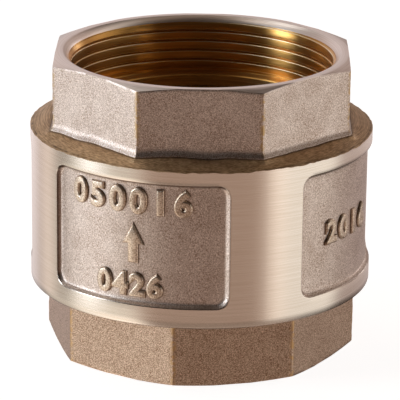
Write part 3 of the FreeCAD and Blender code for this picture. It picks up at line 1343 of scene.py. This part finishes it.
@dataclass
class RaisedMarks:
    """Flow arrow and plain numbers, raised on the floors of the two panels that face the camera.

    Attributes:
        centre_deg: Angle of the arrow.
        floor_radius: Radius of the panels' floors.
        tip: Level of the arrow's tip.
        barb: Level of its barbs.
        foot: Level of its foot.
        barb_half_width: Half the width over its barbs.
        shaft_half_width: Half the width of its shaft.
        soft_edge: Steps of its soft forged edge: how far in, and how far up.
    """

    centre_deg: float = -112.0
    floor_radius: float = 37.5
    tip: float = 38.3
    barb: float = 33.4
    foot: float = 29.1
    barb_half_width: float = 2.65
    shaft_half_width: float = 1.25
    soft_edge: tuple[tuple[float, float], ...] = (
        (0.05, 0.22), (0.14, 0.18), (0.26, 0.14), (0.34, 0.10), (0.32, 0.04),
    )

    def wrap(self, marks: bmesh.types.BMesh, centre_deg: float) -> None:
        """Bend flat marks round the belly: x along the wall, y up, z out of the wall.

        Args:
            marks: The flat marks in millimetres.
            centre_deg: The angle at which x is 0.
        """
        # Painted shade round the marks' feet, fading out by 0.3 mm above the panel's floor
        dirt = marks.verts.layers.float.new("dirt")
        for vertex in marks.verts:
            vertex[dirt] = 0.9 * (1 - smooth_step(0.06, 0.30, vertex.co.z))
            turn = math.degrees(vertex.co.x / self.floor_radius)
            vertex.co = around(self.floor_radius + vertex.co.z, centre_deg + turn, vertex.co.y)

    def arrow(self) -> bmesh.types.BMesh:
        """Make the arrow along the flow, with soft forged edges.

        Returns:
            The arrow, bent round the wall.
        """
        half = [
            (0, self.tip), (self.barb_half_width, self.barb), (self.shaft_half_width, self.barb),
            (self.shaft_half_width, self.foot),
        ]
        outline = half + [(-across, level) for across, level in reversed(half[1:])]
        arrow = bmesh.new()
        face = arrow.faces.new([arrow.verts.new((across, level, -0.2)) for across, level in outline])
        raised = bmesh.ops.extrude_face_region(arrow, geom=[face])["geom"]
        raised_points = [item for item in raised if isinstance(item, bmesh.types.BMVert)]
        bmesh.ops.translate(arrow, verts=raised_points, vec=(0, 0, 0.25))
        top = [item for item in raised if isinstance(item, bmesh.types.BMFace)]
        for inset, rise in self.soft_edge:
            bmesh.ops.inset_region(arrow, faces=top, thickness=inset, depth=0.0, use_even_offset=True)
            top_points = list({vertex for item in top for vertex in item.verts})
            bmesh.ops.translate(arrow, verts=top_points, vec=(0, 0, rise))
        bmesh.ops.triangulate(arrow, faces=top)
        self.wrap(arrow, self.centre_deg)
        return arrow

    def numbers(self, row: Numbers) -> bmesh.types.BMesh:
        """Make plain raised numbers with rounded strokes.

        Args:
            row: What they are and where they stand.

        Returns:
            The numbers, bent round the wall.
        """
        text = bpy.data.curves.new("numbers", "FONT")
        text.body = row.digits
        text.align_x = "CENTER"
        text.size = row.size
        text.space_character = row.spread
        text.offset = 0.02
        text.extrude = 0.10
        text.bevel_depth = 0.52
        text.bevel_resolution = 4
        text.resolution_u = 6
        source = bpy.data.objects.new("numbers", text)
        mesh = bpy.data.meshes.new_from_object(source)
        marks = bmesh.new()
        marks.from_mesh(mesh)
        bpy.data.objects.remove(source)
        bpy.data.curves.remove(text)
        bpy.data.meshes.remove(mesh)
        bmesh.ops.remove_doubles(marks, verts=marks.verts, dist=SAME_POINT)
        bmesh.ops.translate(marks, verts=marks.verts, vec=(0, row.base, 0.05))
        self.wrap(marks, row.middle_deg)
        return marks

    def build(self) -> None:
        """Make the arrow and the rows of numbers."""
        finish_piece("flow_arrow", self.arrow(), (RUBBED_MARKS,), "housing", (), "forged_brass")
        for row in NUMBERS:
            finish_piece(row.name, self.numbers(row), (RUBBED_MARKS,), "housing", (), "forged_brass")


@dataclass
class ValvePoppet:
    """Moving valve: plate, rubber seal, washer, nut and spindle.

    Attributes:
        stud_bore: Radius of the hole in the pieces that the stud carries.
        stud_radius: Radius of the spindle's stud.
        spindle_radius: Radius of its guide rod.
        collar_radius: Radius of its collar, which lies on the plate.
        collar_height: Height of the collar.
        nut_flats: Width of the nut across flats.
        rim_chamfer: Size of the chamfer on the plate's rim.
    """

    stud_bore: float = 3.04
    stud_radius: float = 3.0
    spindle_radius: float = 4.0
    collar_radius: float = 5.4
    collar_height: float = 1.6
    nut_flats: float = 10.0
    rim_chamfer: float = 0.8

    def levels(self, node: str) -> tuple[float, float, float]:
        """Lowest level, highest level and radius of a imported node, in millimetres."""
        low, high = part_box(node)
        return low.z / MM, high.z / MM, high.x / MM

    def ring(self, node: str, round_mm: float) -> bmesh.types.BMesh:
        """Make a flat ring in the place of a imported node.

        Args:
            node: The node.
            round_mm: Size of its broken edges.

        Returns:
            The ring in millimetres.
        """
        bottom, top, radius = self.levels(node)
        corners = [(self.stud_bore, bottom), (radius, bottom), (radius, top), (self.stud_bore, top)]
        return spun(corners, FINE_STEPS, round_mm)

    def plate(self) -> bmesh.types.BMesh:
        """Make the turned plate with its chamfered rim.

        Returns:
            The plate in millimetres.
        """
        bottom, top, radius = self.levels("valve_disc")
        return spun([
            (self.stud_bore, bottom),
            (radius, bottom),
            (radius, top - self.rim_chamfer),
            (radius - self.rim_chamfer, top),
            (self.stud_bore, top),
        ], FINE_STEPS, 0.15)

    def nut(self) -> bmesh.types.BMesh:
        """Make the thin hexagon nut with its turned lower corners.

        Returns:
            The nut in millimetres.
        """
        bottom, top, _ = self.levels("stem_nut")
        half = self.nut_flats / 2
        rows = turned_rows([
            (self.stud_bore, bottom + 0.3), (self.stud_bore + 0.3, bottom), (half - 0.2, bottom), (half, bottom),
        ], STAINLESS_NUT)
        rows += [Row(Zone.CHAMFER, 0, bottom, STAINLESS_NUT), Row(Zone.FACE, 0, top, STAINLESS_NUT)]
        rows += turned_rows([(half - 0.2, top), (self.stud_bore, top)], STAINLESS_NUT)

        def place(row: Row, angle_deg: float) -> Vector:
            """Place a vertex of the nut.

            Args:
                row: Its row.
                angle_deg: The angle of its column.

            Returns:
                Its place in millimetres.
            """
            from_corner = (angle_deg + 30) % 60 - 30
            outline = half / math.cos(math.radians(30 - abs(from_corner)))
            if row.zone is Zone.TURNED:
                return around(row.first, angle_deg, row.second)
            drop = (outline - half) * math.tan(math.radians(30)) if row.zone is Zone.CHAMFER else 0.0
            return around(outline, angle_deg, row.second + drop)

        corners = [60.0 * number for number in range(6)]
        return lathe_skin(rows, column_angles(5.0, corners), (STAINLESS_NUT,), place, lambda row, angle: {})

    def spindle(self) -> bmesh.types.BMesh:
        """Make the turned spindle: stud, collar and guide rod, with broken ends.

        Returns:
            The spindle in millimetres.
        """
        bottom, top, _ = self.levels("stem")
        _, plate_top, _ = self.levels("valve_disc")
        collar_top = plate_top + self.collar_height
        return spun([
            (0, bottom),
            (self.stud_radius, bottom),
            (self.stud_radius, plate_top),
            (self.collar_radius, plate_top),
            (self.collar_radius, collar_top),
            (self.spindle_radius, collar_top),
            (self.spindle_radius, top),
            (0, top),
        ], COARSE_STEPS, 0.3)

    def build(self) -> None:
        """Make the five pieces that move together."""
        seal = self.ring("disc_seal", 0.25)
        washer = self.ring("seal_washer", 0.2)
        finish_piece("valve_plate", self.plate(), (TURNED_BAR,), "poppet", ("valve_disc",), "turned_brass")
        finish_piece("rubber_seal", seal, (NITRILE,), "poppet", ("disc_seal",), "seal_rubber")
        finish_piece("clamp_washer", washer, (TURNED_BAR,), "poppet", ("seal_washer",), "washer_brass")
        finish_piece("clamp_nut", self.nut(), (STAINLESS_NUT,), "poppet", ("stem_nut",), "nut_steel")
        finish_piece("spindle", self.spindle(), (TURNED_BAR,), "poppet", ("stem",), "stem_brass")


@dataclass
class ClosingSpring:
    """Round-wire compression spring between the plate and the guide's hub.

    Attributes:
        wire_radius: Radius of the wire.
        wire_sides: Sides of the wire's section.
        turns: Turns of the coil.
        steps_per_turn: Steps of the helix.
        joint: The joint that would shorten it; not used.
        open_share: Share of its length that is left when the valve is fully open; not used.
    """

    wire_radius: float = 0.45
    wire_sides: int = 10
    turns: float = 5.5
    steps_per_turn: int = 40
    joint: str = "poppet_lift"
    open_share: float = 0.425

    def build(self) -> None:
        """Sweep the wire along its helix, ring by ring, and close its ends."""
        low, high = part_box("spring")
        mean = high.x / MM - self.wire_radius
        bottom = low.z / MM + self.wire_radius
        rise = (high.z - low.z) / MM - 2 * self.wire_radius
        steps = round(self.turns * self.steps_per_turn)
        coil = bmesh.new()
        bmesh.ops.create_circle(coil, segments=self.wire_sides, radius=self.wire_radius)
        bmesh.ops.rotate(coil, verts=coil.verts, cent=(0, 0, 0), matrix=Matrix.Rotation(math.pi / 2, 3, "X"))
        bmesh.ops.translate(coil, verts=coil.verts, vec=(mean, 0, bottom))
        bmesh.ops.spin(
            coil, geom=coil.verts[:] + coil.edges[:], cent=(0, 0, 0), axis=(0, 0, 1),
            angle=FULL_TURN * self.turns, steps=steps, dvec=(0, 0, rise / steps),
        )
        bmesh.ops.holes_fill(coil, edges=[edge for edge in coil.edges if edge.is_boundary])
        piece = finish_piece("closing_spring", coil, (STAINLESS_WIRE,), "housing", ("spring",), "spring_steel")
        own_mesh(piece)


@dataclass
class CapSeal:
    """Flat ring seal between the cap's end and the body.

    Attributes:
        width: Width of the ring.
    """

    width: float = 2.4

    def build(self) -> None:
        """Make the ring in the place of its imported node."""
        low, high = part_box("cap_seal")
        outer = high.x / MM
        inner = outer - self.width
        bottom, top = low.z / MM, high.z / MM
        ring = spun([(inner, bottom), (outer, bottom), (outer, top), (inner, top)], FINE_STEPS, 0.3)
        finish_piece("cap_ring_seal", ring, (NITRILE,), "housing", ("cap_seal",), "seal_rubber")


@dataclass(frozen=True)
class SoftBox:
    """Soft light in the room, far enough away that only its direction counts.

    Attributes:
        bearing: Its bearing from the camera side in degrees, to the right as the camera sees it.
        half_width: Half its width in degrees, to the middle of its soft edge.
        height: Height of its centre above the horizon in degrees; boxes below it are lit table.
        half_height: Half its height in degrees.
        radiance: How bright it is, where 1 is white.
        colour: Its colour as sRGB hex.
        soft: Half the width of its soft edge in degrees.
    """

    bearing: float
    half_width: float
    height: float
    half_height: float
    radiance: float
    colour: str
    soft: float = 9.0

    def inside(
        self, tree: bpy.types.NodeTree, angle: bpy.types.NodeSocket, centre: float, half: float,
    ) -> bpy.types.NodeSocket:
        """Share of the box that an angle lies in, seen along one direction.

        Args:
            tree: The world's node tree.
            angle: The angle in degrees.
            centre: The box's centre along that direction.
            half: Half its size along that direction.

        Returns:
            1 inside the box and 0 outside it, with a soft edge.
        """
        offset = add_node(tree, "ShaderNodeMath", {0: angle, 1: centre}, operation="SUBTRACT")
        turned = add_node(tree, "ShaderNodeMath", {0: offset.outputs[0], 1: 180.0, 2: -180.0}, operation="WRAP")
        distance = add_node(tree, "ShaderNodeMath", {0: turned.outputs[0]}, operation="ABSOLUTE")
        return add_node(
            tree, "ShaderNodeMapRange",
            {
                "Value": distance.outputs[0],
                "From Min": half - self.soft,
                "From Max": half + self.soft,
                "To Min": 1.0,
                "To Max": 0.0,
            },
            interpolation_type="SMOOTHSTEP",
        ).outputs[0]

    def add(
        self, tree: bpy.types.NodeTree, room: bpy.types.NodeSocket, bearing: bpy.types.NodeSocket,
        height: bpy.types.NodeSocket,
    ) -> bpy.types.NodeSocket:
        """Add the box's light to the room's.

        Args:
            tree: The world's node tree.
            room: The light so far.
            bearing: The direction's bearing in degrees.
            height: The direction's height in degrees.

        Returns:
            The light with the box in it.
        """
        across = self.inside(tree, bearing, self.bearing, self.half_width)
        along = self.inside(tree, height, self.height, self.half_height)
        share = add_node(tree, "ShaderNodeMath", {0: across, 1: along}, operation="MULTIPLY")
        light = tuple(self.radiance * part for part in linear(self.colour)[:3])
        glow = add_node(tree, "ShaderNodeVectorMath", {0: light, "Scale": share.outputs[0]}, operation="SCALE")
        return add_node(tree, "ShaderNodeVectorMath", {0: room, 1: glow.outputs[0]}, operation="ADD").outputs[0]


# Strip light on the left, wide box on the right, white paper round and behind the valve, dark room in front
SOFT_BOXES = (
    # The strip light, at the left
    SoftBox(-77, 8, 13, 20, 10.5, "#E3F0FF"),
    # The wide box at the right, low and high
    SoftBox(76, 28, -8, 19, 1.12, "#FFFFFF"),
    SoftBox(107, 18, 43, 21, 0.7, "#FFFAF4"),
    # Paper behind the valve, low and high
    SoftBox(175, 71, -15, 5, 0.86, "#FFF0F1"),
    SoftBox(180, 78, 20, 17, 0.45, "#FFECE8"),
    # A lamp behind the valve at the right, and a dim wall behind it at the left
    SoftBox(140, 6, 7, 5, 4.5, "#F8FAFF"),
    SoftBox(-162, 22, 1, 35, 0.36, "#EAF1FF"),
    # Strips high at the left, which light the faced end and the shoulder, and the ceiling
    SoftBox(-131, 34, 54, 3, 3.4, "#F8FCFF"),
    SoftBox(-88, 16, 64, 4, 2.2, "#FFFCF8"),
    SoftBox(180, 110, 78, 10, 0.30, "#FFE9D6"),
    # Table in front of the valve, far and near
    SoftBox(7, 49, -16, 6, 0.76, "#FFE2D5"),
    SoftBox(0, 75, -42, 12, 0.28, "#FFE6D8"),
    # Table at the left under the strip light, in front and behind
    SoftBox(-68, 27, -37, 22, 1.12, "#FFFCF7"),
    SoftBox(-113, 20, -37, 22, 0.62, "#FFFCF7"),
    # Table close round the foot
    SoftBox(0, 180, -58, 13, 0.35, "#FFF1ED"),
)


@dataclass
class Studio:
    """White table, a dark room with soft boxes and the camera.

    Attributes:
        camera_place: Where the camera stands, in millimetres.
        camera_down_deg: How far it looks down.
        camera_right_deg: How far it is turned to the right.
        camera_roll_deg: How far it is rolled.
        focal_px: Its focal length in pixels of the picture.
        image_px: Width of the picture in pixels.
        sensor_mm: Width of its sensor.
        table_front: Place of the table's front edge along Y, in millimetres.
        table_level: Level of the table top, in millimetres.
        dark_room: Colour of the room between the soft boxes.
        paper: Colour of the paper on the table.
        paper_lift: How far its exposure lifts it towards white for the camera.
    """

    camera_place: tuple[float, float, float] = (6.427, -620.93, 233.695)
    camera_down_deg: float = 17.978
    camera_right_deg: float = -0.607
    camera_roll_deg: float = 0.6602
    focal_px: float = 2875.15
    image_px: int = 400
    sensor_mm: float = 36.0
    table_front: float = -900.0
    table_level: float = -0.02
    dark_room: str = "#30261F"
    paper: str = "#B5A99F"
    paper_lift: float = 0.90

    def camera(self) -> None:
        """Put the camera where the photograph was taken from."""
        data = bpy.data.cameras.new("camera")
        data.sensor_width = self.sensor_mm
        data.lens = self.focal_px * self.sensor_mm / self.image_px
        data.clip_end = 10.0
        down = math.radians(self.camera_down_deg)
        turn = math.radians(self.camera_right_deg)
        roll = math.radians(self.camera_roll_deg)
        ahead = Vector((math.sin(turn) * math.cos(down), math.cos(turn) * math.cos(down), -math.sin(down)))
        level_right = ahead.cross(Vector((0, 0, 1))).normalized()
        level_up = level_right.cross(ahead)
        right = level_right * math.cos(roll) + level_up * math.sin(roll)
        up = level_up * math.cos(roll) - level_right * math.sin(roll)
        turned = Matrix((right, up, -ahead)).transposed().to_4x4()
        camera = bpy.data.objects.new("camera", data)
        camera.matrix_world = Matrix.Translation(Vector(self.camera_place) * MM) @ turned
        bpy.context.scene.collection.objects.link(camera)
        bpy.context.scene.camera = camera

    def world(self) -> None:
        """White to the camera; to the metal, a dark room with soft boxes at their bearings and heights."""
        world = bpy.data.worlds.new("studio")
        world.use_nodes = True
        tree = world.node_tree
        tree.nodes.clear()
        direction = add_node(tree, "ShaderNodeTexCoord").outputs["Generated"]
        parts = add_node(tree, "ShaderNodeSeparateXYZ", {0: direction})
        ahead = add_node(tree, "ShaderNodeMath", {0: parts.outputs["Y"], 1: -1.0}, operation="MULTIPLY")
        turn = add_node(tree, "ShaderNodeMath", {0: parts.outputs["X"], 1: ahead.outputs[0]}, operation="ARCTAN2")
        climb = add_node(tree, "ShaderNodeMath", {0: parts.outputs["Z"]}, operation="ARCSINE")
        bearing = add_node(tree, "ShaderNodeMath", {0: turn.outputs[0]}, operation="DEGREES").outputs[0]
        height = add_node(tree, "ShaderNodeMath", {0: climb.outputs[0]}, operation="DEGREES").outputs[0]
        room = add_node(tree, "ShaderNodeRGB").outputs[0]
        room.default_value = linear(self.dark_room)
        for box in SOFT_BOXES:
            room = box.add(tree, room, bearing, height)
        seen = add_node(tree, "ShaderNodeLightPath").outputs["Is Camera Ray"]
        shown = add_node(
            tree, "ShaderNodeMix", {0: seen, 6: room, 7: (1.0, 1.0, 1.0, 1.0)}, data_type="RGBA",
        ).outputs[2]
        background = add_node(tree, "ShaderNodeBackground", {"Color": shown, "Strength": 1.0})
        add_node(tree, "ShaderNodeOutputWorld", {"Surface": background.outputs[0]})
        bpy.context.scene.world = world

    def table(self) -> None:
        """White table top whose front edge lies just below the picture."""
        top = bmesh.new()
        bmesh.ops.create_grid(top, x_segments=1, y_segments=1, size=1.0)
        bmesh.ops.scale(top, vec=(1.5, 1.0, 1.0), verts=top.verts)
        bmesh.ops.translate(top, vec=(0, 1.0 + self.table_front * MM, self.table_level * MM), verts=top.verts)
        mesh = bpy.data.meshes.new("table_top")
        top.to_mesh(mesh)
        top.free()
        made = bpy.data.materials.new("white_table_paper")
        made.use_nodes = True
        tree = made.node_tree
        tree.nodes.clear()
        path = add_node(tree, "ShaderNodeLightPath")
        lift = add_node(
            tree, "ShaderNodeMath", {0: path.outputs["Is Camera Ray"], 1: self.paper_lift}, operation="MULTIPLY",
        )
        paper = add_node(tree, "ShaderNodeBsdfDiffuse", {"Color": linear(self.paper)})
        glow = add_node(tree, "ShaderNodeEmission", {"Color": (1.0, 1.0, 1.0, 1.0), "Strength": lift.outputs[0]})
        both = add_node(tree, "ShaderNodeAddShader", {0: paper.outputs[0], 1: glow.outputs[0]})
        # The paper hides nothing from a camera that looks up from below it
        below = add_node(tree, "ShaderNodeNewGeometry").outputs["Backfacing"]
        clear = add_node(tree, "ShaderNodeBsdfTransparent").outputs[0]
        sheet = add_node(tree, "ShaderNodeMixShader", {0: below, 1: both.outputs[0], 2: clear})
        add_node(tree, "ShaderNodeOutputMaterial", {"Surface": sheet.outputs[0]})
        mesh.materials.append(made)
        table = bpy.data.objects.new("table_top", mesh)
        bpy.context.scene.collection.objects.link(table)
        # The metal mirrors the lit paper that the soft boxes below the horizon stand for
        table.visible_glossy = False
        table.visible_diffuse = False

    def build(self) -> None:
        """Set up the camera, the lights, the room and the table."""
        bpy.context.scene.view_settings.view_transform = "Standard"
        self.camera()
        self.world()
        self.table()


def main() -> None:
    """Build the studio and every piece; each piece logs how many faces it has."""
    logging.basicConfig(level=logging.INFO, format="%(message)s")
    Studio().build()
    body = BodyForging()
    body.build()
    cap = EndCap()
    cap.build()
    PipeThread("outlet_thread", "forged_brass", body.outlet, end=body.end, inward=-1).build()
    PipeThread("inlet_thread", "cap_brass", cap.inlet, end=0.0, inward=1).build()
    RaisedMarks().build()
    CapSeal().build()
    ValvePoppet().build()
    ClosingSpring().build()


if __name__ == "__main__":
    main()
